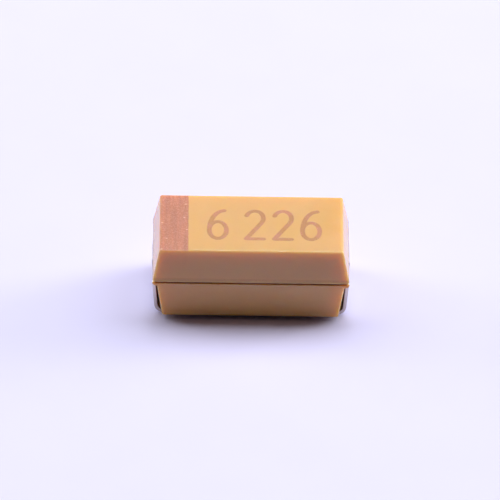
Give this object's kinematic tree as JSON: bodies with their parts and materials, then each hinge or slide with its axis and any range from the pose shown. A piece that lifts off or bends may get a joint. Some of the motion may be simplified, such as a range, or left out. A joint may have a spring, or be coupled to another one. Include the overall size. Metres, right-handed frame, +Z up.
{
  "type": "niobium oxide capacitor",
  "caption": "Surface-mount niobium oxide capacitor: drafted moulded case with a polarity band, bent lead strips under both ends and a sintered anode element sealed inside.",
  "frame": {"origin": "middle of the footprint, on the plane of the solder pads", "axes": "+X along the part from the anode end to the cathode end, +Z up through the case top"},
  "size_m": [0.006, 0.0032, 0.0026],
  "materials": {
    "epoxy": "fine matt moulding, tan yellow, with a darker laser marked band",
    "tinned_strip": "satin tin plate on metal strip",
    "niobium_oxide": "porous sinter",
    "niobium_wire": "drawn wire",
    "washer_plastic": "smooth white",
    "manganese_dioxide": "matt black-brown crust",
    "carbon": "matt coat",
    "silver_coat": "matt silver paint",
    "silver_glue": "cured silver filled glue"
  },
  "bodies": {
    "root": {"epoxy_case": "epoxy", "anode_terminal": "tinned_strip", "cathode_terminal": "tinned_strip", "anode_pellet": "niobium_oxide", "anode_wire": "niobium_wire", "wire_washer": "washer_plastic", "manganese_dioxide_layer": "manganese_dioxide", "carbon_layer": "carbon", "silver_layer": "silver_coat", "silver_adhesive": "silver_glue"}
  },
  "joints": []
}
